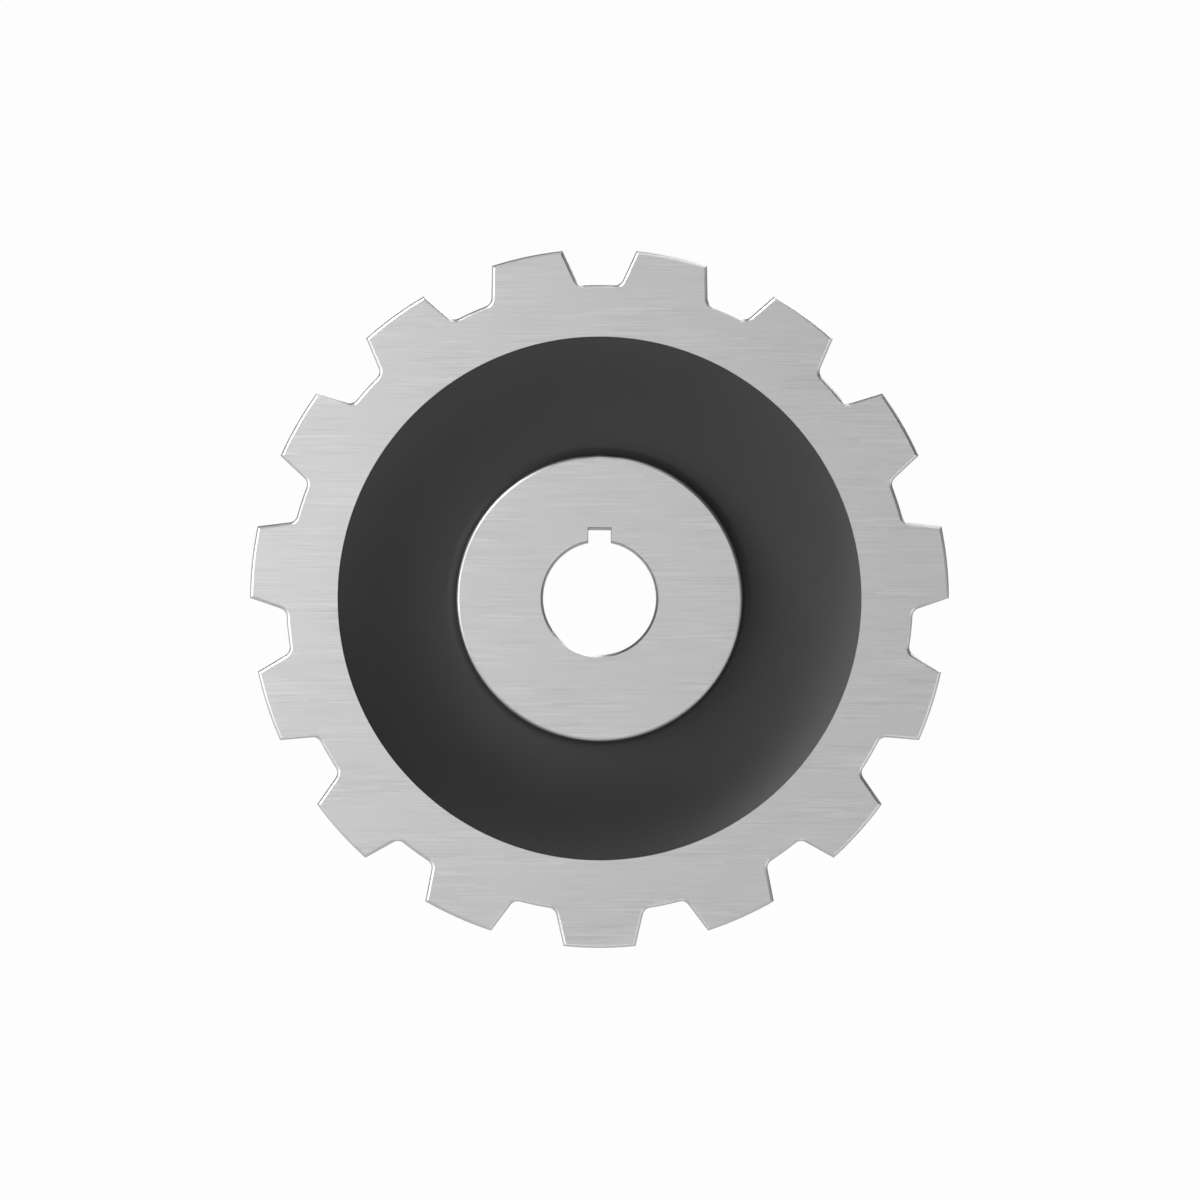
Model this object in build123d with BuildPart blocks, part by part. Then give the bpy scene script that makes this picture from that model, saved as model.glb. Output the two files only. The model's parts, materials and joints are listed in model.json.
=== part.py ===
from build123d import *

import os
from math import cos, pi, radians, tan

# Torsionally elastic timing belt pulley for a belt of 12.7 mm pitch, in millimetres.
# The pulley turns about the Y axis. Its front face looks towards -Y, +Z is up and runs through
# the keyway, and the origin lies on the axis in the middle of the toothed width.
#
# The toothed rim turns on a plain bush on the hub. A rubber ring bonded between two sleeves
# passes the torque, and four buffered pins stop the rim at the end of its twist.

# ---------------------------------------------------------------- driving dimensions

# Teeth and belt
TOOTH_COUNT = 15
BELT_PITCH = 12.7
PITCH_LINE_HEIGHT = 0.686  # from the tooth tip out to the belt's pitch line
GAP_DEPTH = 3.05
GAP_TOP_WIDTH = 6.43
FLANK_ANGLE = 25.0  # between a flank and the centre line of its gap
ROOT_FILLET = 0.75
RIM_WIDTH = 31.2  # narrowest rim without flanges for a belt 25.4 wide
EDGE_BREAK = 0.22
FINE_EDGE = 0.08
TAIL_CHAMFER = 0.44
CUT_OVERRUN = 1.0  # how far a cut runs past the surface it opens
ALIKE = 0.01  # radii closer than this count as equal

# Hub
BORE_DIAMETER = 10.0
KEYWAY_WIDTH = 2.0
KEYWAY_TOP = 6.05  # from the axis
HUB_NOSE_DIAMETER = 24.3
FLANGE_DIAMETER = 40.4
FLANGE_FRONT = -2.8  # from the middle of the toothed width
FLANGE_THICKNESS = 3.0
JOURNAL_DIAMETER = 22.0
HUB_TAIL = 11.4  # how far the hub stands out behind the rim

# Bonded rubber ring and its sleeves
SLEEVE_SEAT_DIAMETER = 44.4  # in the rim
SHOULDER_STEP = 1.0  # behind the outer sleeve
SLEEVE_WALL = 1.2
SLEEVE_LENGTH = 8.2
SLEEVE_CHAMFER = 0.15
BOND_GAP = 0.05
LIP_GAP = 0.1  # around the rubber's front lip, in the rim
OUTER_EDGE_DEPTH = 0.2  # below the rim's front face
DISH_DEPTH = 3.2
DISH_BOTTOM_RADIUS = 13.0
DISH_ROOT_HEIGHT = 0.55  # how far the rubber climbs up the hub from the bottom of the dish
RUBBER_SETBACK = 0.4  # from the hub's flange
REAR_DISH_DEPTH = 1.3

# Bush, washers and retaining ring
BUSH_WALL = 1.5
BUSH_LENGTH = 11.5
BUSH_FLANGE_DIAMETER = 32.0
BUSH_CHAMFER = 0.3
RUNNING_CLEARANCE = 0.03
AXIAL_PLAY = 0.15
WASHER_CLEARANCE = 0.15
WASHER_THICKNESS = 1.2
WASHER_DIAMETER = 32.0
WASHER_EDGE = 0.2
SUPPORT_THICKNESS = 0.8
SUPPORT_DIAMETER = 30.0
RING_PLAY = 0.05
RING_THICKNESS = 1.2
RING_GROOVE_WIDTH = 1.3
RING_GROOVE_DIAMETER = 21.0
RING_CLEARANCE = 0.02  # between the ring and the floor of its groove
RING_WIDTH_AT_BACK = 2.8
RING_WIDTH_AT_LUGS = 1.9
RING_LUG_RADIUS = 2.0
RING_LUG_HOLE_DIAMETER = 2.0
RING_LUG_SPACING = 6.8
RING_MOUTH = 2.8

# Stop pins
STOP_COUNT = 4
FIRST_STOP_ANGLE = 45.0
STOP_CIRCLE_RADIUS = 18.0
PIN_DIAMETER = 2.5
PIN_LENGTH = 12.0
BUFFER_WALL = 0.7
BUFFER_LENGTH = 6.8
BUFFER_SETBACK = 0.3  # from the pin's rear end
PIN_CHAMFER = 0.25
TWIST_LIMIT = 6.0  # degrees each way
SLOT_SIDE_CLEARANCE = 0.25
STOP_GAP = 0.1  # left between buffer and slot end at the limit

# Set screws, M4, and their pads
SCREW_DIAMETER = 4.0
SCREW_LENGTH = 4.0
SCREW_CHAMFER = 0.35
SCREW_HOLE_DIAMETER = 4.1
SCREW_SETBACK = 6.0  # from the hub's rear face
SOCKET_WIDTH = 2.0
SOCKET_DEPTH = 2.0
PAD_DIAMETER = 3.2
PAD_THICKNESS = 0.8
PAD_CHAMFER = 0.15
PAD_SETBACK = 0.25  # pad tip to shaft, or to the roof of the keyway, at rest
PAD_PLAY = 0.02

# ---------------------------------------------------------------- derived sizes

pitch_radius = TOOTH_COUNT * BELT_PITCH / (2 * pi)
tip_radius = pitch_radius - PITCH_LINE_HEIGHT
root_radius = tip_radius - GAP_DEPTH

bore_radius = BORE_DIAMETER / 2
nose_radius = HUB_NOSE_DIAMETER / 2
flange_radius = FLANGE_DIAMETER / 2
journal_radius = JOURNAL_DIAMETER / 2
groove_radius = RING_GROOVE_DIAMETER / 2
seat_radius = SLEEVE_SEAT_DIAMETER / 2
shoulder_radius = seat_radius - SHOULDER_STEP
bush_inner_radius = journal_radius + RUNNING_CLEARANCE
bush_outer_radius = journal_radius + BUSH_WALL
bush_flange_radius = BUSH_FLANGE_DIAMETER / 2

rim_front = -RIM_WIDTH / 2
rim_rear = RIM_WIDTH / 2
hub_rear = rim_rear + HUB_TAIL
flange_rear = FLANGE_FRONT + FLANGE_THICKNESS
bush_front = flange_rear + AXIAL_PLAY
web_front = bush_front + BUSH_WALL
web_rear = bush_front + BUSH_LENGTH
washer_front = web_rear + AXIAL_PLAY
support_front = washer_front + WASHER_THICKNESS + RING_PLAY
ring_groove_front = support_front + SUPPORT_THICKNESS + RING_PLAY
ring_front = ring_groove_front + RING_PLAY
screw_y = hub_rear - SCREW_SETBACK

pin_radius = PIN_DIAMETER / 2
pin_rear = FLANGE_FRONT + PIN_LENGTH
buffer_radius = pin_radius + BUFFER_WALL
slot_half_width = buffer_radius + SLOT_SIDE_CLEARANCE
slot_overrun = (SLOT_SIDE_CLEARANCE - STOP_GAP) / STOP_CIRCLE_RADIUS * 180 / pi
slot_half_angle = TWIST_LIMIT - slot_overrun
stop_angles = [FIRST_STOP_ANGLE + i * 360 / STOP_COUNT for i in range(STOP_COUNT)]


def across(y):
    """Plane square to the axis at y: its normal is -Y, its x is +X and its y is +Z."""
    return Plane.XZ.offset(-y)


def radial(direction, distance):
    """Plane square to a set screw, at a distance from the axis."""
    return Plane(origin=Vector(0, screw_y, 0) + direction * distance, x_dir=(0, 1, 0), z_dir=direction)


def save(part, label):
    part.label = label
    export_step(part, f"parts/{label}.step")


os.makedirs("parts", exist_ok=True)

# ---------------------------------------------------------------- toothed rim

gap_floor = root_radius - CUT_OVERRUN
gap_mouth = tip_radius + CUT_OVERRUN


def gap_half_width(radius):
    return GAP_TOP_WIDTH / 2 + (radius - tip_radius) * tan(radians(FLANK_ANGLE))


slot_lines = [
    CenterArc((0, 0), STOP_CIRCLE_RADIUS, angle - slot_half_angle, 2 * slot_half_angle)
    for angle in stop_angles
]

with BuildPart() as rim:
    with BuildSketch(across(rim_rear)) as outline:
        Circle(tip_radius)
        with PolarLocations(0, TOOTH_COUNT, start_angle=90):
            Polygon(
                (gap_floor, -gap_half_width(gap_floor)),
                (gap_mouth, -gap_half_width(gap_mouth)),
                (gap_mouth, gap_half_width(gap_mouth)),
                (gap_floor, gap_half_width(gap_floor)),
                align=None,
                mode=Mode.SUBTRACT,
            )
        Circle(root_radius)
        root_corners = outline.vertices().filter_by(
            lambda corner: abs(Vector(corner.X, corner.Y).length - root_radius) < ALIKE
        )
        fillet(root_corners, ROOT_FILLET)
    extrude(amount=RIM_WIDTH)
    end_faces = rim.faces().filter_by(Axis.Y).group_by(Axis.Y)
    chamfer(end_faces[0].edges() + end_faces[-1].edges(), EDGE_BREAK)
    # The bore: sleeve seat, shoulder, web with the bush seat, and the rear recess
    with BuildSketch(Plane.XY):
        with BuildLine():
            Polyline(
                (0, rim_front),
                (seat_radius, rim_front),
                (seat_radius, FLANGE_FRONT),
                (shoulder_radius, FLANGE_FRONT),
                (shoulder_radius, web_front),
                (bush_outer_radius, web_front),
                (bush_outer_radius, web_rear),
                (seat_radius, web_rear),
                (seat_radius, rim_rear),
                (0, rim_rear),
                close=True,
            )
        make_face()
    revolve(axis=Axis.Y, mode=Mode.SUBTRACT)
    with BuildSketch(across(web_rear)):
        for line in slot_lines:
            SlotArc(line, 2 * slot_half_width)
    extrude(amount=web_rear - web_front, mode=Mode.SUBTRACT)
    seat_edges = rim.edges().filter_by(GeomType.CIRCLE).filter_by(
        lambda edge: abs(edge.radius - seat_radius) < ALIKE
    )
    chamfer(seat_edges.group_by(Axis.Y)[0], FINE_EDGE)
    chamfer(seat_edges.group_by(Axis.Y)[-1], EDGE_BREAK)
save(rim.part, "toothed_rim")

# ---------------------------------------------------------------- hub

with BuildPart() as hub:
    with BuildSketch(Plane.XY):
        with BuildLine():
            Polyline(
                (bore_radius, rim_front),
                (nose_radius, rim_front),
                (nose_radius, FLANGE_FRONT),
                (flange_radius, FLANGE_FRONT),
                (flange_radius, flange_rear),
                (journal_radius, flange_rear),
                (journal_radius, ring_groove_front),
                (groove_radius, ring_groove_front),
                (groove_radius, ring_groove_front + RING_GROOVE_WIDTH),
                (journal_radius, ring_groove_front + RING_GROOVE_WIDTH),
                (journal_radius, hub_rear),
                (bore_radius, hub_rear),
                close=True,
            )
        make_face()
    revolve(axis=Axis.Y)
    round_edges = hub.edges().filter_by(GeomType.CIRCLE)
    chamfer(round_edges.group_by(Axis.Y)[0].sort_by(SortBy.RADIUS)[-1], EDGE_BREAK)
    chamfer(round_edges.group_by(Axis.Y)[-1], TAIL_CHAMFER)
    # Keyway, broached right through
    with BuildSketch(across(hub_rear)):
        Rectangle(KEYWAY_WIDTH, KEYWAY_TOP, align=(Align.CENTER, Align.MIN))
    extrude(amount=hub_rear - rim_front, mode=Mode.SUBTRACT)
    # Holes for the stop pins
    with BuildSketch(across(flange_rear)):
        with PolarLocations(STOP_CIRCLE_RADIUS, STOP_COUNT, start_angle=FIRST_STOP_ANGLE):
            Circle(pin_radius)
    extrude(amount=FLANGE_THICKNESS, mode=Mode.SUBTRACT)
    # Set screw holes: one over the keyway and one a quarter turn from it
    for direction in (Vector(0, 0, 1), Vector(1, 0, 0)):
        with BuildSketch(radial(direction, 0)):
            Circle(SCREW_HOLE_DIAMETER / 2)
        extrude(amount=journal_radius + CUT_OVERRUN, mode=Mode.SUBTRACT)
save(hub.part, "hub")

# ---------------------------------------------------------------- sleeves

inner_sleeve_radius = nose_radius + SLEEVE_WALL
outer_sleeve_radius = seat_radius - SLEEVE_WALL
sleeve_front = FLANGE_FRONT - SLEEVE_LENGTH


def build_tube(inner, outer, front, rear):
    with BuildPart() as tube:
        with BuildSketch(across(rear)):
            Circle(outer)
            Circle(inner, mode=Mode.SUBTRACT)
        extrude(amount=rear - front)
        chamfer(tube.edges().filter_by(GeomType.CIRCLE), SLEEVE_CHAMFER)
    return tube.part


save(build_tube(nose_radius, inner_sleeve_radius, sleeve_front, FLANGE_FRONT), "inner_sleeve")
save(build_tube(outer_sleeve_radius, seat_radius, sleeve_front, FLANGE_FRONT), "outer_sleeve")

# ---------------------------------------------------------------- rubber ring

# The front face is a dish, deepest beside the hub: two arcs meet level at its bottom, a long
# one out to the rim and a short one up the hub. Lips cover the front ends of both sleeves.
lip_inner = nose_radius + BOND_GAP
lip_outer = seat_radius - LIP_GAP
body_inner = inner_sleeve_radius + BOND_GAP
body_outer = outer_sleeve_radius - BOND_GAP
dish_bottom = rim_front + DISH_DEPTH
lip_inner_front = dish_bottom - DISH_ROOT_HEIGHT
lip_outer_front = rim_front + OUTER_EDGE_DEPTH
lip_rear = sleeve_front - BOND_GAP
rubber_rear = FLANGE_FRONT - RUBBER_SETBACK
rear_dish_middle = (body_inner + body_outer) / 2

with BuildPart() as rubber:
    with BuildSketch(Plane.XY):
        with BuildLine():
            TangentArc(
                (DISH_BOTTOM_RADIUS, dish_bottom),
                (lip_outer, lip_outer_front),
                tangent=(1, 0),
            )
            TangentArc(
                (DISH_BOTTOM_RADIUS, dish_bottom),
                (lip_inner, lip_inner_front),
                tangent=(-1, 0),
            )
            Polyline(
                (lip_outer, lip_outer_front),
                (lip_outer, lip_rear),
                (body_outer, lip_rear),
                (body_outer, rubber_rear),
            )
            Polyline(
                (lip_inner, lip_inner_front),
                (lip_inner, lip_rear),
                (body_inner, lip_rear),
                (body_inner, rubber_rear),
            )
            ThreePointArc(
                (body_inner, rubber_rear),
                (rear_dish_middle, rubber_rear - REAR_DISH_DEPTH),
                (body_outer, rubber_rear),
            )
        make_face()
    revolve(axis=Axis.Y)
save(rubber.part, "rubber_ring")

# ---------------------------------------------------------------- bush, washers, retaining ring

with BuildPart() as bush:
    with BuildSketch(Plane.XY):
        with BuildLine():
            Polyline(
                (bush_inner_radius, bush_front),
                (bush_flange_radius, bush_front),
                (bush_flange_radius, web_front),
                (bush_outer_radius, web_front),
                (bush_outer_radius, web_rear),
                (bush_inner_radius, web_rear),
                close=True,
            )
        make_face()
    revolve(axis=Axis.Y)
    chamfer(bush.edges().filter_by(GeomType.CIRCLE).group_by(Axis.Y)[-1], BUSH_CHAMFER)
save(bush.part, "plain_bush")



def build_washer(diameter, front, thickness):
    with BuildPart() as washer:
        with BuildSketch(across(front + thickness)):
            Circle(diameter / 2)
            Circle(journal_radius + WASHER_CLEARANCE, mode=Mode.SUBTRACT)
        extrude(amount=thickness)
        fillet(washer.edges().filter_by(GeomType.CIRCLE), WASHER_EDGE)
    return washer.part


save(build_washer(WASHER_DIAMETER, washer_front, WASHER_THICKNESS), "thrust_washer")
save(build_washer(SUPPORT_DIAMETER, support_front, SUPPORT_THICKNESS), "support_washer")

# The ring's outside is a circle set off from the axis, so that the ring is widest at the back
# and narrow at the lugs, which hang at the bottom beside the mouth.
ring_outer_radius = groove_radius + (RING_WIDTH_AT_BACK + RING_WIDTH_AT_LUGS) / 2
ring_offset = (RING_WIDTH_AT_BACK - RING_WIDTH_AT_LUGS) / 2
lug_height = groove_radius + RING_LUG_RADIUS

with BuildPart() as ring:
    with BuildSketch(across(ring_front + RING_THICKNESS)) as ring_outline:
        with Locations((0, ring_offset)):
            Circle(ring_outer_radius)
        with Locations((-RING_LUG_SPACING / 2, -lug_height), (RING_LUG_SPACING / 2, -lug_height)):
            Circle(RING_LUG_RADIUS)
        Circle(groove_radius + RING_CLEARANCE, mode=Mode.SUBTRACT)
        Rectangle(
            RING_MOUTH,
            2 * ring_outer_radius,
            align=(Align.CENTER, Align.MAX),
            mode=Mode.SUBTRACT,
        )
        with Locations((-RING_LUG_SPACING / 2, -lug_height), (RING_LUG_SPACING / 2, -lug_height)):
            Circle(RING_LUG_HOLE_DIAMETER / 2, mode=Mode.SUBTRACT)
    extrude(amount=RING_THICKNESS)
save(ring.part, "retaining_ring")

# ---------------------------------------------------------------- stop pins and buffers


def build_stop_pin(angle):
    with BuildPart() as pin:
        with BuildSketch(across(pin_rear)):
            with PolarLocations(STOP_CIRCLE_RADIUS, 1, start_angle=angle):
                Circle(pin_radius)
        extrude(amount=PIN_LENGTH)
        chamfer(pin.edges().filter_by(GeomType.CIRCLE), PIN_CHAMFER)
    return pin.part


def build_buffer(angle):
    with BuildPart() as buffer:
        with BuildSketch(across(pin_rear - BUFFER_SETBACK)):
            with PolarLocations(STOP_CIRCLE_RADIUS, 1, start_angle=angle):
                Circle(buffer_radius)
                Circle(pin_radius, mode=Mode.SUBTRACT)
        extrude(amount=BUFFER_LENGTH)
    return buffer.part


for number, angle in enumerate(stop_angles, start=1):
    save(build_stop_pin(angle), f"stop_pin_{number}")
    save(build_buffer(angle), f"stop_buffer_{number}")

# ---------------------------------------------------------------- set screws and pads


def build_pad(direction, tip):
    with BuildPart() as pad:
        with BuildSketch(radial(direction, tip)):
            Circle(PAD_DIAMETER / 2)
        extrude(amount=PAD_THICKNESS)
        chamfer(pad.edges().filter_by(GeomType.CIRCLE), PAD_CHAMFER)
    return pad.part


def build_set_screw(direction, tip):
    with BuildPart() as screw:
        with BuildSketch(radial(direction, tip)):
            Circle(SCREW_DIAMETER / 2)
        extrude(amount=SCREW_LENGTH)
        chamfer(screw.edges().filter_by(GeomType.CIRCLE), SCREW_CHAMFER)
        with BuildSketch(radial(direction, tip + SCREW_LENGTH)):
            RegularPolygon(SOCKET_WIDTH / 2, 6, major_radius=False)
        extrude(amount=-SOCKET_DEPTH, mode=Mode.SUBTRACT)
    return screw.part


for place, direction, floor in (
    ("key", Vector(0, 0, 1), KEYWAY_TOP),
    ("shaft", Vector(1, 0, 0), bore_radius),
):
    pad_tip = floor + PAD_SETBACK
    save(build_pad(direction, pad_tip), f"pad_{place}")
    save(build_set_screw(direction, pad_tip + PAD_THICKNESS + PAD_PLAY), f"set_screw_{place}")
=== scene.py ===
import json
import math

import bmesh
import bpy
import mathutils
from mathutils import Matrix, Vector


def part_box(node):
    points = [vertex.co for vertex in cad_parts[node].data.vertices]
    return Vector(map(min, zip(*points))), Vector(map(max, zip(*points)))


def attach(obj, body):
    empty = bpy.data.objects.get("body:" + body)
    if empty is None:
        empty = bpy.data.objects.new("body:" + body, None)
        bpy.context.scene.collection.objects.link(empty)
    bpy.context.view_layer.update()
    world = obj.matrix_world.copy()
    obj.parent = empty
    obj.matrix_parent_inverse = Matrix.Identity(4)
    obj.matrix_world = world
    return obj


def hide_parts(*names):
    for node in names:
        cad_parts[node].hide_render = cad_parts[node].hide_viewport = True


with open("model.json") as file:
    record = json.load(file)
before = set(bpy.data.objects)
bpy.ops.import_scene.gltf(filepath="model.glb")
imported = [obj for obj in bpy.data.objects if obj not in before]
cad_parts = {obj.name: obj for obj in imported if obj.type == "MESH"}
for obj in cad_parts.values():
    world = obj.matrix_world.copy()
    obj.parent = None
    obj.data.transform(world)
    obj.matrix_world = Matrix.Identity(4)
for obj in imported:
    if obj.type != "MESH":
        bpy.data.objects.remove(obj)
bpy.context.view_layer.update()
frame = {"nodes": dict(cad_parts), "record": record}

MM = 0.001

# ---------------------------------------------------------------- material helpers

FRONT_DEPTH = (-15.3 * MM, -15.0 * MM)  # where brushing ends, in the pulley's frame
RING_GRAIN = 5000.0


class Nodes:
    """A new material with a Principled shader, and short calls for adding nodes to it."""

    def __init__(self, name):
        self.material = bpy.data.materials.new(name)
        self.material.use_nodes = True
        self.tree = self.material.node_tree
        self.shader = self.tree.nodes["Principled BSDF"]
        self.place = self.add("ShaderNodeTexCoord").outputs["Object"]
        self.normal = self.add("ShaderNodeTexCoord").outputs["Normal"]

    def add(self, kind, **settings):
        node = self.tree.nodes.new(kind)
        for key, value in settings.items():
            setattr(node, key, value)
        return node

    def link(self, output, socket):
        self.tree.links.new(output, socket)

    def noise(self, stretch, detail=3.0, roughness=0.6):
        """Noise whose grain is 1/stretch metres along X, Y and Z."""
        mapping = self.add("ShaderNodeMapping")
        mapping.inputs["Scale"].default_value = stretch
        self.link(self.place, mapping.inputs["Vector"])
        noise = self.add("ShaderNodeTexNoise")
        noise.inputs["Scale"].default_value = 1.0
        noise.inputs["Detail"].default_value = detail
        noise.inputs["Roughness"].default_value = roughness
        self.link(mapping.outputs["Vector"], noise.inputs["Vector"])
        return noise.outputs["Fac"]

    def math(self, operation, a, b=None):
        node = self.add("ShaderNodeMath", operation=operation)
        for socket, value in zip(node.inputs, (a, b)):
            if value is None:
                continue
            if isinstance(value, (int, float)):
                socket.default_value = value
            else:
                self.link(value, socket)
        return node.outputs[0]

    def remap(self, value, low, high, from_low=0.3, from_high=0.7):
        node = self.add("ShaderNodeMapRange")
        self.link(value, node.inputs["Value"])
        node.inputs["From Min"].default_value = from_low
        node.inputs["From Max"].default_value = from_high
        node.inputs["To Min"].default_value = low
        node.inputs["To Max"].default_value = high
        return node.outputs["Result"]

    def mix(self, factor, a, b):
        """a where factor is 0 and b where it is 1."""
        node = self.add("ShaderNodeMix", data_type="FLOAT")
        self.link(factor, node.inputs["Factor"])
        self.link(a, node.inputs["A"])
        self.link(b, node.inputs["B"])
        return node.outputs["Result"]

    def tint(self, colour, brightness):
        """The colour, times a brightness that varies over the surface."""
        node = self.add("ShaderNodeVectorMath", operation="SCALE")
        node.inputs[0].default_value = colour
        self.link(brightness, node.inputs["Scale"])
        self.link(node.outputs[0], self.shader.inputs["Base Color"])

    def bump(self, height, depth):
        node = self.add("ShaderNodeBump")
        node.inputs["Distance"].default_value = depth
        self.link(height, node.inputs["Height"])
        self.link(node.outputs["Normal"], self.shader.inputs["Normal"])

    def on_front(self):
        """1 at the very front of the pulley, 0 behind it."""
        split = self.add("ShaderNodeSeparateXYZ")
        self.link(self.place, split.inputs[0])
        return self.remap(split.outputs["Y"], 1.0, 0.0, FRONT_DEPTH[0], FRONT_DEPTH[1])

    def turned_rings(self):
        """Fine rings about the Y axis."""
        flat = self.add("ShaderNodeVectorMath", operation="MULTIPLY")
        flat.inputs[1].default_value = (1, 0, 1)
        self.link(self.place, flat.inputs[0])
        length = self.add("ShaderNodeVectorMath", operation="LENGTH")
        self.link(flat.outputs[0], length.inputs[0])
        noise = self.add("ShaderNodeTexNoise", noise_dimensions="1D")
        noise.inputs["Scale"].default_value = RING_GRAIN
        noise.inputs["Detail"].default_value = 3.0
        self.link(length.outputs["Value"], noise.inputs["W"])
        return noise.outputs["Fac"]

    def short_lines(self, thickness, length):
        """Straight lines along X with clean ends, mostly faint, from -1 to 1."""
        split = self.add("ShaderNodeSeparateXYZ")
        self.link(self.place, split.inputs[0])
        row = self.math("FLOOR", self.math("DIVIDE", split.outputs["Z"], thickness))
        shift = self.add("ShaderNodeTexWhiteNoise", noise_dimensions="1D")
        self.link(row, shift.inputs["W"])
        along = self.math("DIVIDE", split.outputs["X"], length)
        along = self.math("ADD", along, shift.outputs["Value"])
        cell = self.add("ShaderNodeCombineXYZ")
        self.link(row, cell.inputs["X"])
        self.link(self.math("FLOOR", along), cell.inputs["Y"])
        line = self.add("ShaderNodeTexWhiteNoise", noise_dimensions="2D")
        self.link(cell.outputs[0], line.inputs["Vector"])
        signed = self.remap(line.outputs["Value"], -1.0, 1.0, 0.0, 1.0)
        return self.math("MULTIPLY", self.math("MULTIPLY", signed, signed), signed)

    def faces_front_or_back(self):
        """1 on faces square to the axis, 0 on faces along it."""
        split = self.add("ShaderNodeSeparateXYZ")
        self.link(self.normal, split.inputs[0])
        return self.remap(self.math("ABSOLUTE", split.outputs["Y"]), 0.0, 1.0, 0.8, 0.95)


# Grains of the machined steel, each a stretch for Nodes.noise.
BRUSHED = (200, 200, 9000)  # straight across the front
ALONG_AXIS = (4500, 160, 4500)
AROUND_AXIS = (150, 9000, 150)
CLOUDS = (70, 70, 70)
PATCHES = (130, 130, 400)
# The crisp lines in the brushing, and how much the grains show.
LINE_THICKNESS = 0.13 * MM
LINE_LENGTH = 4.5 * MM
LINE_STRENGTH = 0.20
STREAK_TINT = 0.07
CLOUD_TINT = 0.008
STREAK_SHEEN = 0.03
STREAK_DEPTH = 0.35e-6


def machined_steel(name, colour, roughness, side_grain):
    """Brushed straight across the front, turned behind it, and with its own grain on the sides."""
    m = Nodes(name)
    brushed = m.noise(BRUSHED, detail=2, roughness=0.75)
    lines = m.math("MULTIPLY", m.short_lines(LINE_THICKNESS, LINE_LENGTH), LINE_STRENGTH)
    brushed = m.math("ADD", brushed, lines)
    end_grain = m.mix(m.on_front(), m.turned_rings(), brushed)
    streaks = m.mix(m.faces_front_or_back(), m.noise(side_grain, detail=4), end_grain)
    clouds = m.noise(CLOUDS, detail=2)
    # The grain fades out between patches, towards the middle value of the noise.
    patches = m.remap(m.noise(PATCHES, detail=2), 0.1, 1.0, 0.35, 0.6)
    streaks = m.math("ADD", m.math("MULTIPLY", m.math("SUBTRACT", streaks, 0.5), patches), 0.5)
    fine = m.remap(streaks, 1 - STREAK_TINT, 1 + STREAK_TINT)
    broad = m.remap(clouds, 1 - CLOUD_TINT, 1 + CLOUD_TINT)
    m.tint(colour, m.math("MULTIPLY", fine, broad))
    duller, shinier = roughness + STREAK_SHEEN, roughness - STREAK_SHEEN
    m.link(m.remap(streaks, duller, shinier), m.shader.inputs["Roughness"])
    m.bump(streaks, STREAK_DEPTH)
    m.shader.inputs["Metallic"].default_value = 1.0
    return m.material


GRAIN_DEPTH = 1.5e-6  # of the bump on everything but the machined steel


def rubber(name, colour):
    """Moulded rubber, with a fine even grain."""
    m = Nodes(name)
    grain = m.noise((6000, 6000, 6000), detail=3)
    clouds = m.noise((120, 120, 120), detail=3)
    m.tint(colour, m.remap(clouds, 0.96, 1.04))
    m.link(m.remap(grain, 0.42, 0.52), m.shader.inputs["Roughness"])
    m.bump(grain, GRAIN_DEPTH)
    m.shader.inputs["Specular IOR Level"].default_value = 0.4
    return m.material


def turned(name, colour, roughness, metallic=1.0):
    """The smaller pieces, with fine rings about the axis."""
    m = Nodes(name)
    rings = m.noise((400, 9000, 400), detail=3)
    clouds = m.noise((300, 300, 300), detail=3)
    m.tint(colour, m.math("MULTIPLY", m.remap(rings, 0.94, 1.06), m.remap(clouds, 0.95, 1.05)))
    m.link(m.remap(rings, roughness + 0.05, roughness - 0.05), m.shader.inputs["Roughness"])
    m.bump(rings, GRAIN_DEPTH)
    m.shader.inputs["Metallic"].default_value = metallic
    return m.material


STEEL = (0.62, 0.62, 0.62)
materials = {
    "rim_steel": machined_steel("rim_steel", STEEL, 0.42, ALONG_AXIS),
    "hub_steel": machined_steel("hub_steel", STEEL, 0.42, AROUND_AXIS),
    "rubber": rubber("rubber", (0.038, 0.038, 0.038)),
    "sleeve_steel": turned("sleeve_steel", (0.42, 0.42, 0.43), 0.4),
    "bush_bronze": turned("bush_bronze", (0.50, 0.33, 0.17), 0.4),
    "washer_polymer": turned("washer_polymer", (0.72, 0.70, 0.64), 0.5, 0.0),
    "spring_steel": turned("spring_steel", (0.06, 0.06, 0.065), 0.35, 0.6),
    "pin_steel": turned("pin_steel", (0.60, 0.60, 0.62), 0.2),
    "black_screw": turned("black_screw", (0.05, 0.05, 0.052), 0.35, 0.7),
    "pad_brass": turned("pad_brass", (0.70, 0.50, 0.20), 0.35),
}
slots = {s["node"]: s["material_slot"] for s in frame["record"]["subparts"]}
for name, node in frame["nodes"].items():
    node.data.materials.clear()
    node.data.materials.append(materials[slots[name]])

# ---------------------------------------------------------------- mesh helpers
# Outlines are lists of (x, z) points in metres, clockwise from +Z as seen from the front.

# A broken edge as (inset, depth) from the face to the side: a chamfer, then a steep run-out.
BROKEN_EDGE = ((0.26 * MM, 0.0), (0.12 * MM, 0.14 * MM), (0.0, 0.50 * MM))

# Edges that bend by more than this, in degrees, are shaded sharp.
KEEP_CHAMFERS = 12
KEEP_CORNERS = 30


def circle(radius, bearings):
    return [(radius * math.sin(b), radius * math.cos(b)) for b in bearings]


def even_bearings(count):
    return [2 * math.pi * i / count for i in range(count)]


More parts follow.
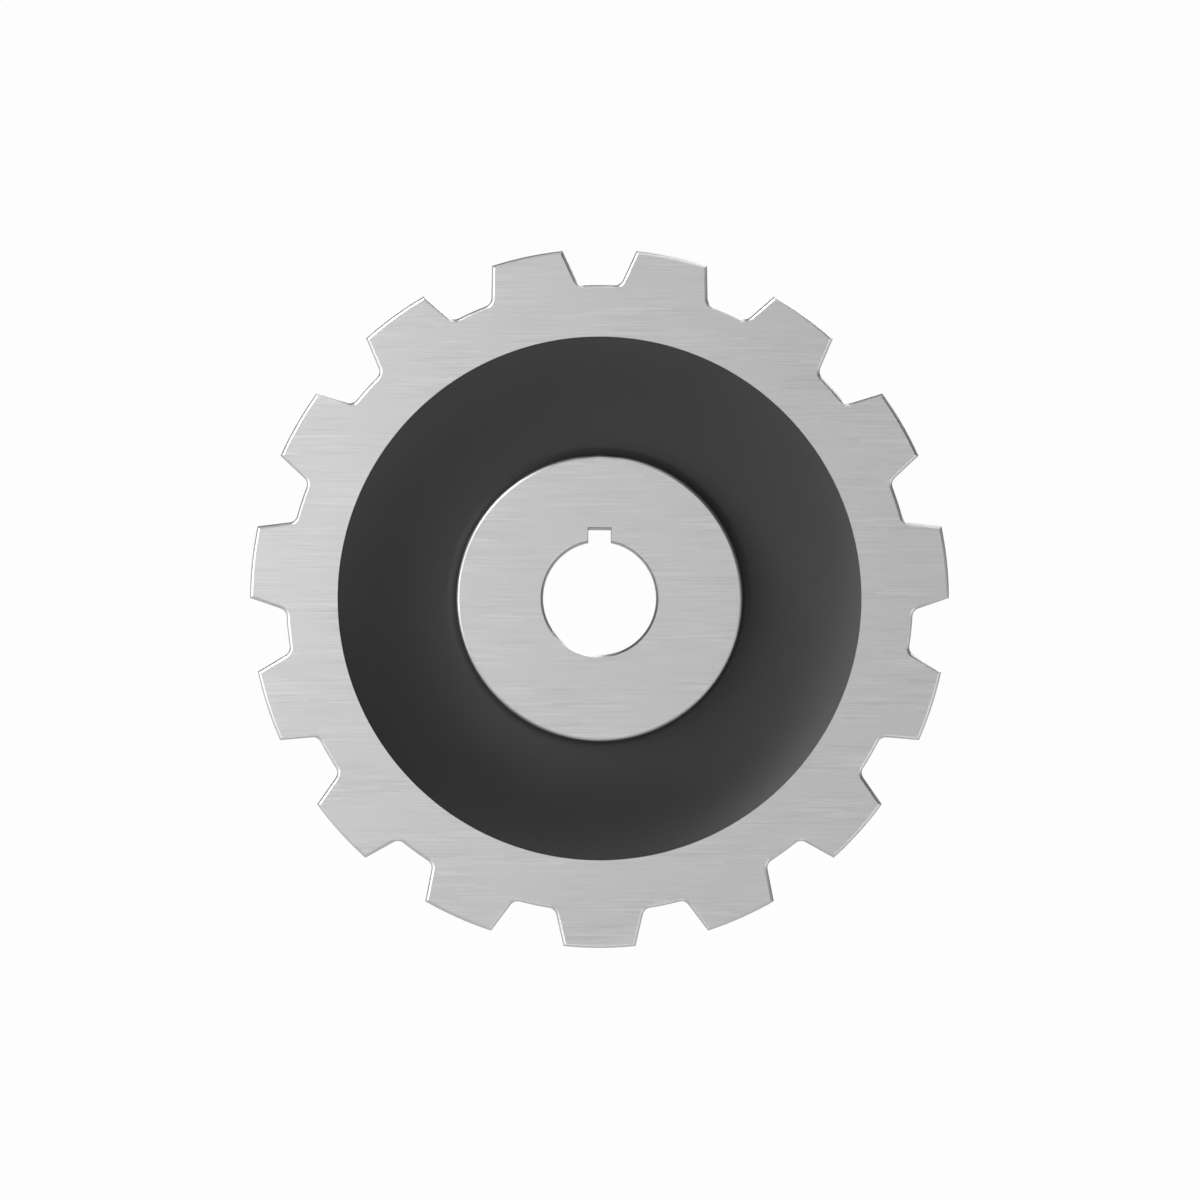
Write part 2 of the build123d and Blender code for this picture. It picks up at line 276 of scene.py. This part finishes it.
def arc(centre, radius, start, end, steps):
    """Points from one angle to another, in degrees, about a centre in the plane."""
    angles = [math.radians(start + (end - start) * i / steps) for i in range(steps + 1)]
    return [(centre[0] + radius * math.cos(a), centre[1] + radius * math.sin(a)) for a in angles]


def inset(outline, distance):
    """The outline moved into the material, with mitred corners."""
    moved = []
    for i, (x, z) in enumerate(outline):
        before, after = outline[i - 1], outline[(i + 1) % len(outline)]
        normals = []
        for (x0, z0), (x1, z1) in ((before, (x, z)), ((x, z), after)):
            length = math.hypot(x1 - x0, z1 - z0)
            normals.append(((z1 - z0) / length, (x0 - x1) / length))
        (ax, az), (bx, bz) = normals
        scale = distance / (1 + ax * bx + az * bz)
        moved.append((x + (ax + bx) * scale, z + (az + bz) * scale))
    return moved


def skin(rows, capped=False):
    """Quads through rows of points of equal length, closed into a ring or capped at both ends."""
    made = bmesh.new()
    rows = [[made.verts.new(point) for point in row] for row in rows]
    following_rows = rows[1:] if capped else rows[1:] + rows[:1]
    for row, following in zip(rows, following_rows):
        for i in range(len(row)):
            j = (i + 1) % len(row)
            made.faces.new((row[i], row[j], following[j], following[i]))
    if capped:
        made.faces.new(rows[0])
        made.faces.new(rows[-1])
    bmesh.ops.recalc_face_normals(made, faces=made.faces)
    return made


def stack(loops):
    """The rows for skin from loops that are each an outline and its y."""
    return [[(x, y, z) for x, z in outline] for outline, y in loops]


def lathe(profile, count, centre=(0.0, 0.0)):
    """A closed ring about an axis along Y from a list of (radius, y)."""
    loops = []
    for radius, y in profile:
        turns = circle(radius, even_bearings(count))
        loops.append(([(x + centre[0], z + centre[1]) for x, z in turns], y))
    return skin(stack(loops))


def object_from(name, made):
    mesh = bpy.data.meshes.new(name)
    made.to_mesh(mesh)
    made.free()
    piece = bpy.data.objects.new(name, mesh)
    bpy.context.scene.collection.objects.link(piece)
    return piece


def cut(piece, cutters):
    """Takes the cutters out of the piece for good."""
    for cutter in cutters:
        modifier = piece.modifiers.new("cut", "BOOLEAN")
        modifier.object = cutter
        modifier.solver = "EXACT"
        graph = bpy.context.evaluated_depsgraph_get()
        result = bpy.data.meshes.new_from_object(piece.evaluated_get(graph))
        piece.modifiers.clear()
        piece.data = result
        bpy.data.objects.remove(cutter)


def stand_for(piece, node, body, smooth_angle=KEEP_CHAMFERS):
    """Shades the piece, gives it its node's material and makes it stand for that node."""
    piece.data.shade_smooth()
    piece.data.set_sharp_from_angle(angle=math.radians(smooth_angle))
    piece.data.materials.clear()
    piece.data.materials.append(materials[slots[node]])
    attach(piece, body)
    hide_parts(node)


# ---------------------------------------------------------------- toothed rim

rim_low, rim_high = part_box("toothed_rim")
hub_low, hub_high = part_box("hub")
TOOTH_COUNT = 15
TIP_RADIUS = -rim_low.z  # a tooth points straight down
GAP_DEPTH = 3.05 * MM
GAP_TOP_WIDTH = 6.43 * MM
FLANK_ANGLE = 25.0  # degrees
ROOT_FILLET = 0.75 * MM
EDGE_BREAK = 0.22 * MM  # at the rear of the sleeve's seat
SHOULDER_STEP = 1.0 * MM  # behind the outer sleeve
SEAT_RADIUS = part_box("outer_sleeve")[1].x
FLANGE_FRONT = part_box("outer_sleeve")[1].y
SLEEVE_WALL = 1.2 * MM
BUSH_WALL = 1.5 * MM
JOURNAL_RADIUS = 11.0 * MM
WEB_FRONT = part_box("plain_bush")[0].y + BUSH_WALL
WEB_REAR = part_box("plain_bush")[1].y
SETTLING_STEPS = 20  # enough for a corner to settle on its circle


def gap_outline():
    """(sideways, outwards) from the middle of a gap's root to the middle of the next tooth."""
    slope = math.tan(math.radians(FLANK_ANGLE))
    lean = GAP_TOP_WIDTH / 2 - TIP_RADIUS * slope
    root_radius = TIP_RADIUS - GAP_DEPTH
    out = TIP_RADIUS
    for _ in range(SETTLING_STEPS):
        corner = (lean + out * slope, out)
        out = math.sqrt(TIP_RADIUS**2 - corner[0] ** 2)
    out = root_radius
    for _ in range(SETTLING_STEPS):
        centre = (lean + out * slope - ROOT_FILLET / math.cos(math.radians(FLANK_ANGLE)), out)
        out = math.sqrt((root_radius + ROOT_FILLET) ** 2 - centre[0] ** 2)
    foot_bearing = math.degrees(math.atan2(centre[0], centre[1]))
    half = arc((0, 0), root_radius, 90, 90 - foot_bearing, 4)
    half += arc(centre, ROOT_FILLET, -90 - foot_bearing, -FLANK_ANGLE, 7)[1:]
    tip_bearing = math.degrees(math.atan2(corner[0], corner[1]))
    half += arc((0, 0), TIP_RADIUS, 90 - tip_bearing, 90 - 180 / TOOTH_COUNT, 5)
    return half


def tooth_outline():
    """The whole toothed outline, with the middle of a gap at the top."""
    half = gap_outline()
    whole = [(-x, z) for x, z in reversed(half[1:])] + half[:-1]
    outline = []
    for tooth in range(TOOTH_COUNT):
        turn = 2 * math.pi * tooth / TOOTH_COUNT
        sin, cos = math.sin(turn), math.cos(turn)
        outline += [(x * cos + z * sin, z * cos - x * sin) for x, z in whole]
    return outline


def build_rim():
    teeth = tooth_outline()
    bearings = [math.atan2(x, z) for x, z in teeth]
    bush_seat = JOURNAL_RADIUS + BUSH_WALL
    shoulder = SEAT_RADIUS - SHOULDER_STEP
    front, rear = rim_low.y, rim_high.y
    edge = [(inset(teeth, distance), depth) for distance, depth in BROKEN_EDGE]
    loops = [(outline, front + depth) for outline, depth in edge]
    loops += [(outline, rear - depth) for outline, depth in reversed(edge)]
    for radius, y in (
        (SEAT_RADIUS + EDGE_BREAK, rear),
        (SEAT_RADIUS, rear - EDGE_BREAK),
        (SEAT_RADIUS, WEB_REAR),
        (bush_seat, WEB_REAR),
        (bush_seat, WEB_FRONT),
        (shoulder, WEB_FRONT),
        (shoulder, FLANGE_FRONT),
        (SEAT_RADIUS, FLANGE_FRONT),
        (SEAT_RADIUS, front),
    ):
        loops.append((circle(radius, bearings), y))
    return object_from("rim_with_teeth", skin(stack(loops)))


STOP_BEARINGS = (45.0, 135.0, 225.0, 315.0)  # degrees, from +Z
STOP_CIRCLE = 18.0 * MM
SLOT_HALF_WIDTH = 2.2 * MM
SLOT_HALF_ANGLE = 5.5225  # degrees
CUT_OVERRUN = 1.0 * MM  # how far a cut runs past the surface it opens


def slot_cutter(bearing):
    """A slot along an arc about the axis, with round ends."""
    middle = 90 - bearing
    low, high = middle - SLOT_HALF_ANGLE, middle + SLOT_HALF_ANGLE
    inner, outer = STOP_CIRCLE - SLOT_HALF_WIDTH, STOP_CIRCLE + SLOT_HALF_WIDTH
    ends = [arc((0, 0), STOP_CIRCLE, angle, angle, 1)[0] for angle in (low, high)]
    points = arc((0, 0), outer, low, high, 8)
    points += arc(ends[1], SLOT_HALF_WIDTH, high, high + 180, 16)[1:]
    points += arc((0, 0), inner, high, low, 8)[1:]
    points += arc(ends[0], SLOT_HALF_WIDTH, low + 180, low + 360, 16)[1:-1]
    made = bmesh.new()
    start = WEB_FRONT - CUT_OVERRUN
    face = made.faces.new([made.verts.new((x, start, z)) for x, z in points])
    moved = bmesh.ops.extrude_face_region(made, geom=[face])["geom"]
    corners = [item for item in moved if isinstance(item, bmesh.types.BMVert)]
    length = WEB_REAR - WEB_FRONT + 2 * CUT_OVERRUN
    bmesh.ops.translate(made, verts=corners, vec=(0, length, 0))
    bmesh.ops.recalc_face_normals(made, faces=made.faces)
    return object_from("slot_cutter", made)


rim = build_rim()
cut(rim, [slot_cutter(bearing) for bearing in STOP_BEARINGS])
stand_for(rim, "toothed_rim", "rim")

# ---------------------------------------------------------------- hub

BORE_RADIUS = 5.0 * MM
KEYWAY_WIDTH = 2.0 * MM
KEYWAY_TOP = 6.05 * MM
NOSE_RADIUS = -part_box("inner_sleeve")[0].x - SLEEVE_WALL
FLANGE_RADIUS = hub_high.x
FLANGE_THICKNESS = 3.0 * MM
FLANGE_REAR = FLANGE_FRONT + FLANGE_THICKNESS
RING_PLAY = 0.05 * MM
GROOVE_WIDTH = 1.3 * MM
GROOVE_RADIUS = 10.5 * MM
GROOVE_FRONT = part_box("retaining_ring")[0].y - RING_PLAY
GROOVE_REAR = GROOVE_FRONT + GROOVE_WIDTH
TAIL_CHAMFER = 2 * EDGE_BREAK
SCREW_Y = sum(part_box("set_screw_key")[i].y for i in (0, 1)) / 2
SCREW_HOLE_RADIUS = 2.05 * MM
SCREW_HOLE_START = 2.0 * MM  # inside the bore
COUNTERSINK = 0.45 * MM
COUNTERSINK_OVERRUN = 0.1 * MM
HUB_COLUMNS = 180
ALIKE = 1e-9  # bearings closer than this count as equal
PIN_COLUMNS = 64
HOLE_COLUMNS = 46  # no column in the hub's middle plane, where the hub has corners of its own


def keyed_radius(bearing):
    """Distance from the axis to the wall of the bore or of the keyway."""
    bearing = abs(math.remainder(bearing, 2 * math.pi))
    if bearing <= math.atan2(KEYWAY_WIDTH / 2, KEYWAY_TOP) + ALIKE:
        return KEYWAY_TOP / math.cos(bearing)
    if bearing < math.asin(KEYWAY_WIDTH / 2 / BORE_RADIUS) - ALIKE:
        return KEYWAY_WIDTH / 2 / math.sin(bearing)
    return BORE_RADIUS


def build_hub():
    roof_corner = math.atan2(KEYWAY_WIDTH / 2, KEYWAY_TOP)
    wall_foot = math.asin(KEYWAY_WIDTH / 2 / BORE_RADIUS)
    bearings = [-wall_foot, -roof_corner, 0.0, roof_corner]
    around = 2 * math.pi - 2 * wall_foot
    bearings += [wall_foot + around * i / HUB_COLUMNS for i in range(HUB_COLUMNS)]

    def keyed(least):
        """The outline of the bore and its keyway, opened out to at least this radius."""
        radii = [max(keyed_radius(b), least) for b in bearings]
        return [(r * math.sin(b), r * math.cos(b)) for r, b in zip(radii, bearings)]

    front, rear = hub_low.y, hub_high.y
    loops = [(keyed(BORE_RADIUS), front)]
    for distance, depth in BROKEN_EDGE:
        loops.append((circle(NOSE_RADIUS - distance, bearings), front + depth))
    for radius, y in (
        (NOSE_RADIUS, FLANGE_FRONT),
        (FLANGE_RADIUS, FLANGE_FRONT),
        (FLANGE_RADIUS, FLANGE_REAR),
        (JOURNAL_RADIUS, FLANGE_REAR),
        (JOURNAL_RADIUS, GROOVE_FRONT),
        (GROOVE_RADIUS, GROOVE_FRONT),
        (GROOVE_RADIUS, GROOVE_REAR),
        (JOURNAL_RADIUS, GROOVE_REAR),
        (JOURNAL_RADIUS, rear - TAIL_CHAMFER),
        (JOURNAL_RADIUS - TAIL_CHAMFER, rear),
    ):
        loops.append((circle(radius, bearings), y))
    loops.append((keyed(BORE_RADIUS + TAIL_CHAMFER), rear))
    loops.append((keyed(BORE_RADIUS), rear - TAIL_CHAMFER))
    return object_from("hub_body", skin(stack(loops)))


def screw_frame(sideways, across, along, height):
    """Places a point of a set screw's own right-handed frame: up the Z axis or out along X."""
    if sideways:
        return (height, SCREW_Y + along, -across)
    return (across, SCREW_Y + along, height)


def screw_ring(sideways, radii, height):
    """A row of points about a set screw's axis, one for each radius."""
    turns = even_bearings(len(radii))
    return [
        screw_frame(sideways, radius * math.cos(turn), radius * math.sin(turn), height)
        for radius, turn in zip(radii, turns)
    ]


def screw_hole_cutter(sideways):
    """A radial hole with a countersunk mouth."""
    rows = []
    for radius, height in (
        (SCREW_HOLE_RADIUS, SCREW_HOLE_START),
        (SCREW_HOLE_RADIUS, JOURNAL_RADIUS - COUNTERSINK),
        (SCREW_HOLE_RADIUS + COUNTERSINK, JOURNAL_RADIUS + COUNTERSINK_OVERRUN),
    ):
        rows.append(screw_ring(sideways, [radius] * HOLE_COLUMNS, height))
    return object_from("screw_hole_cutter", skin(rows, capped=True))


def pin_hole_cutter(node):
    """A cylinder of the pin's size through the hub's flange."""
    low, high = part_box(node)
    turns = circle((high.x - low.x) / 2, even_bearings(PIN_COLUMNS))
    outline = [(x + (low.x + high.x) / 2, z + (low.z + high.z) / 2) for x, z in turns]
    loops = [(outline, FLANGE_FRONT - CUT_OVERRUN), (outline, FLANGE_REAR + CUT_OVERRUN)]
    return object_from("pin_hole_cutter", skin(stack(loops), capped=True))


STOP_NUMBERS = range(1, len(STOP_BEARINGS) + 1)
hub = build_hub()
cut(hub, [screw_hole_cutter(False), screw_hole_cutter(True)])
cut(hub, [pin_hole_cutter(f"stop_pin_{number}") for number in STOP_NUMBERS])
stand_for(hub, "hub", "hub")

# ---------------------------------------------------------------- rubber ring

RUBBER_GAP = 0.05 * MM
LIP_GAP = 0.02 * MM
DISH_BOTTOM_RADIUS = 13.0 * MM
DISH_DEPTH = 3.2 * MM
DISH_ROOT_HEIGHT = 0.55 * MM
OUTER_EDGE_DEPTH = 0.2 * MM
REAR_DISH_DEPTH = 1.3 * MM
RUBBER_COLUMNS = 256


def dish_arc(bottom, edge, steps):
    """Arc from the bottom of the dish, where it is level, out to an edge, as (radius, y)."""
    across, up = edge[0] - bottom[0], bottom[1] - edge[1]
    radius = (across**2 + up**2) / (2 * up)
    sweep = math.degrees(math.asin(abs(across) / radius))
    turn = math.copysign(sweep, across)
    return arc((bottom[0], bottom[1] - radius), radius, 90, 90 - turn, steps)


def build_rubber():
    """A ring dished at both ends, with a lip over each sleeve's front."""
    front = rim_low.y
    bottom = (DISH_BOTTOM_RADIUS, front + DISH_DEPTH)
    outer = (SEAT_RADIUS - LIP_GAP, front + OUTER_EDGE_DEPTH)
    inner = (NOSE_RADIUS + RUBBER_GAP, bottom[1] - DISH_ROOT_HEIGHT)
    lip_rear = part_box("inner_sleeve")[0].y - RUBBER_GAP
    body_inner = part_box("inner_sleeve")[1].x + RUBBER_GAP
    body_outer = SEAT_RADIUS - SLEEVE_WALL - RUBBER_GAP
    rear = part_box("rubber_ring")[1].y
    profile = list(reversed(dish_arc(bottom, inner, 12)))[:-1] + dish_arc(bottom, outer, 24)
    profile += [(outer[0], lip_rear), (body_outer, lip_rear)]
    half = (body_outer - body_inner) / 2
    radius = (half**2 + REAR_DISH_DEPTH**2) / (2 * REAR_DISH_DEPTH)
    sweep = math.degrees(math.asin(half / radius))
    middle = ((body_inner + body_outer) / 2, rear - REAR_DISH_DEPTH + radius)
    profile += arc(middle, radius, sweep - 90, -sweep - 90, 20)
    profile += [(body_inner, lip_rear), (inner[0], lip_rear)]
    return object_from("rubber_dish", lathe(profile, RUBBER_COLUMNS))


stand_for(build_rubber(), "rubber_ring", "rubber")

# ---------------------------------------------------------------- set screws

SCREW_RADIUS = 2.0 * MM
SCREW_PITCH = 0.7 * MM
SCREW_COLUMNS = 48
THREAD_DEPTH = 0.38 * MM
THREAD_FLAT = 0.14  # of half a pitch, at the crest and at the root
THREAD_ROWS = 16  # to a pitch
SCREW_CHAMFER = 0.35 * MM
SOCKET_APOTHEM = 1.0 * MM
SOCKET_DEPTH = 2.0 * MM
SOCKET_EDGE = 0.1 * MM
SOCKET_TIP_RADIUS = 0.2 * MM  # at the end of the cone under the socket
SOCKET_TIP_DEPTH = 0.3 * MM


def thread_radius(turn, height, tip, top):
    """Radius of a right-hand thread with flat crests, run out into a chamfer at both ends."""
    phase = (height / SCREW_PITCH - turn / (2 * math.pi)) % 1.0
    flank = (abs(phase - 0.5) * 2 - THREAD_FLAT) / (1 - 2 * THREAD_FLAT)
    flank = max(0.0, min(1.0, flank))
    radius = SCREW_RADIUS - THREAD_DEPTH * (1 - flank)
    end = min(height - tip, top - height)
    return min(radius, SCREW_RADIUS - SCREW_CHAMFER + end)


def build_set_screw(node, sideways):
    """A set screw the size of its node, with a thread and a hexagon socket."""
    low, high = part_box(node)
    tip, top = (low.x, high.x) if sideways else (low.z, high.z)
    turns = even_bearings(SCREW_COLUMNS)
    count = round((top - tip) / SCREW_PITCH * THREAD_ROWS)
    rows = []
    for i in range(count + 1):
        height = tip + (top - tip) * i / count
        radii = [thread_radius(turn, height, tip, top) for turn in turns]
        rows.append(screw_ring(sideways, radii, height))
    sixth = math.pi / 3
    hexagon = [SOCKET_APOTHEM / math.cos(turn % sixth - sixth / 2) for turn in turns]
    mouth = [radius + SOCKET_EDGE for radius in hexagon]
    cone = [SOCKET_TIP_RADIUS] * SCREW_COLUMNS
    rows.append(screw_ring(sideways, mouth, top))
    rows.append(screw_ring(sideways, hexagon, top - SOCKET_EDGE))
    rows.append(screw_ring(sideways, hexagon, top - SOCKET_DEPTH))
    rows.append(screw_ring(sideways, cone, top - SOCKET_DEPTH - SOCKET_TIP_DEPTH))
    return object_from(node + "_threaded", skin(rows, capped=True))


for node, body, sideways in (
    ("set_screw_key", "screw_over_key", False),
    ("set_screw_shaft", "screw_over_shaft", True),
):
    stand_for(build_set_screw(node, sideways), node, body, KEEP_CORNERS)

# ---------------------------------------------------------------- stop pins and their buffers

PIN_INSIDE = 0.15 * MM  # a fine hole, so that lathe can make the pins as well
PIN_ROUNDING = 0.25 * MM
BUFFER_INSIDE = 1.25 * MM
BUFFER_ROUNDING = 0.3 * MM


def rounded_tube(inner, outer, front, rear, edge):
    """Profile of a tube with its outer edges rounded."""
    turns = [math.radians(15 * i) for i in range(7)]
    start = [(outer - edge * (1 - math.sin(a)), front + edge * (1 - math.cos(a))) for a in turns]
    finish = [(radius, front + rear - y) for radius, y in reversed(start)]
    return [(inner, front)] + start + finish + [(inner, rear)]


for number in STOP_NUMBERS:
    for node, inner, edge in (
        (f"stop_pin_{number}", PIN_INSIDE, PIN_ROUNDING),
        (f"stop_buffer_{number}", BUFFER_INSIDE, BUFFER_ROUNDING),
    ):
        low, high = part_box(node)
        middle = ((low.x + high.x) / 2, (low.z + high.z) / 2)
        profile = rounded_tube(inner, (high.x - low.x) / 2, low.y, high.y, edge)
        piece = object_from(node + "_round", lathe(profile, PIN_COLUMNS, middle))
        stand_for(piece, node, "hub", KEEP_CORNERS)

# ---------------------------------------------------------------- retaining ring

RING_EDGE = 0.08 * MM
WELD_DISTANCE = 0.001 * MM
LEVEL_ANGLE = 1  # degrees: faces closer than this are one flat face
BEVEL_ANGLE = 50  # degrees: edges sharper than this are bevelled


def build_ring():
    """A copy of the ring's own mesh, with its edges bevelled."""
    made = bmesh.new()
    made.from_mesh(frame["nodes"]["retaining_ring"].data)
    bmesh.ops.remove_doubles(made, verts=made.verts, dist=WELD_DISTANCE)
    bmesh.ops.dissolve_limit(
        made,
        angle_limit=math.radians(LEVEL_ANGLE),
        verts=made.verts,
        edges=made.edges,
        delimit={"NORMAL"},
    )
    piece = object_from("ring_with_worn_edges", made)
    bevel = piece.modifiers.new("bevel", "BEVEL")
    bevel.width = RING_EDGE
    bevel.segments = 2
    bevel.limit_method = "ANGLE"
    bevel.angle_limit = math.radians(BEVEL_ANGLE)
    graph = bpy.context.evaluated_depsgraph_get()
    piece.data = bpy.data.meshes.new_from_object(piece.evaluated_get(graph))
    piece.modifiers.clear()
    return piece


stand_for(build_ring(), "retaining_ring", "hub", KEEP_CORNERS)

# ---------------------------------------------------------------- floor and backdrop

# The floor is as white as the backdrop, and neither lights nor shades the pulley.
FLOOR_SIZE = 6.0
WHITE = (0.982, 0.982, 0.982, 1)
bpy.ops.mesh.primitive_plane_add(size=FLOOR_SIZE, location=(0, 0, rim_low.z))
floor = bpy.context.object
floor.name = "floor"
floor_look = Nodes("floor_white")
floor_grain = floor_look.noise((3, 3, 3))
floor_look.tint((0.004, 0.004, 0.004), floor_look.remap(floor_grain, 0.8, 1.0))
floor_look.shader.inputs["Roughness"].default_value = 1.0
floor_look.shader.inputs["Specular IOR Level"].default_value = 0.0
floor_look.shader.inputs["Emission Color"].default_value = WHITE
floor_look.shader.inputs["Emission Strength"].default_value = 1.0
floor.data.materials.append(floor_look.material)
floor.visible_diffuse = False
floor.visible_glossy = False
floor.visible_shadow = False

# White to the camera. What lights the pulley is dimmer: a floor below and a dark room above.
SKY_LIGHT = 0.10
FLOOR_LIGHT = 0.60
HORIZON = 0.15  # sine of the angle over which one turns into the other
world = bpy.data.worlds.new("white_studio")
bpy.context.scene.world = world
world.use_nodes = True
sky = world.node_tree.nodes
backdrop = sky["Background"]
backdrop.inputs["Color"].default_value = WHITE
room = sky.new("ShaderNodeBackground")
room.inputs["Strength"].default_value = 1.0
direction = sky.new("ShaderNodeSeparateXYZ")
height = sky.new("ShaderNodeMapRange")
height.inputs["From Min"].default_value = -HORIZON
height.inputs["From Max"].default_value = HORIZON
height.inputs["To Min"].default_value = FLOOR_LIGHT
height.inputs["To Max"].default_value = SKY_LIGHT
seen = sky.new("ShaderNodeMixShader")
for output, socket in (
    (sky.new("ShaderNodeTexCoord").outputs["Generated"], direction.inputs[0]),
    (direction.outputs["Z"], height.inputs["Value"]),
    (height.outputs["Result"], room.inputs["Color"]),
    (sky.new("ShaderNodeLightPath").outputs["Is Camera Ray"], seen.inputs[0]),
    (room.outputs[0], seen.inputs[1]),
    (backdrop.outputs[0], seen.inputs[2]),
    (seen.outputs[0], sky["World Output"].inputs["Surface"]),
):
    world.node_tree.links.new(output, socket)

# ---------------------------------------------------------------- light
# Each soft box: name, bearing seen from the front (0 right, 90 up), tilt away from the view,
# distance, size, power. All face the middle of the pulley's front.

SOFT_BOXES = (
    ("front", 0, 0, 0.80, 0.30, 0.286),
    ("near_left", 165, 30, 0.22, 0.12, 0.088),
    ("near_upper_left", 150, 60, 0.22, 0.12, 0.056),
    ("key_upper_left", 135, 85, 0.80, 0.40, 3.916),
    ("key_left", 165, 75, 0.80, 0.40, 0.67),
    ("edge_left", 180, 85, 0.80, 0.40, 1.849),
    ("edge_top", 90, 85, 0.80, 0.40, 0.38),
    ("edge_top_right", 75, 85, 0.80, 0.40, 0.649),
    ("edge_right", 0, 85, 0.80, 0.50, 0.294),
    ("edge_lower_right", 330, 85, 0.80, 0.50, 0.655),
    ("edge_below", 270, 85, 0.80, 0.50, 0.50),
    ("rear_top", 60, 125, 0.80, 0.50, 2.2),
    ("rear_left", 190, 140, 0.80, 0.50, 0.1),
    ("behind_bore", 69, 168, 0.80, 0.12, 0.4),
    ("behind_bore_low", 270, 168, 0.80, 0.30, 0.08),
    ("edge_lower_left", 210, 85, 0.80, 0.40, 0.42),
)


def soft_box(name, bearing, tilt, distance, size, power):
    light = bpy.data.lights.new(name, "AREA")
    light.size = size
    light.energy = power
    holder = bpy.data.objects.new(name, light)
    bpy.context.scene.collection.objects.link(holder)
    bearing, tilt = math.radians(bearing), math.radians(tilt)
    reach = mathutils.Vector(
        (math.sin(tilt) * math.cos(bearing), -math.cos(tilt), math.sin(tilt) * math.sin(bearing))
    )
    holder.location = mathutils.Vector((0, rim_low.y, 0)) + distance * reach
    holder.rotation_euler = (-reach).to_track_quat("-Z", "Y").to_euler()
    holder.visible_camera = False


for soft in SOFT_BOXES:
    soft_box(*soft)

# ---------------------------------------------------------------- camera

FRONT_DISTANCE = 0.925  # from the camera to the front face
VIEW_WIDTH = 101.69 * MM  # at the front face
VIEW_RIGHT = 0.04 * MM  # of the pulley's axis
VIEW_DOWN = 0.13 * MM
camera_data = bpy.data.cameras.new("camera")
camera_data.sensor_width = 36.0
camera_data.lens = camera_data.sensor_width * FRONT_DISTANCE / VIEW_WIDTH
camera = bpy.data.objects.new("camera", camera_data)
bpy.context.scene.collection.objects.link(camera)
camera.location = (VIEW_RIGHT, rim_low.y - FRONT_DISTANCE, -VIEW_DOWN)
camera.rotation_euler = (math.radians(90), 0, 0)
bpy.context.scene.camera = camera
bpy.context.scene.view_settings.view_transform = "Standard"
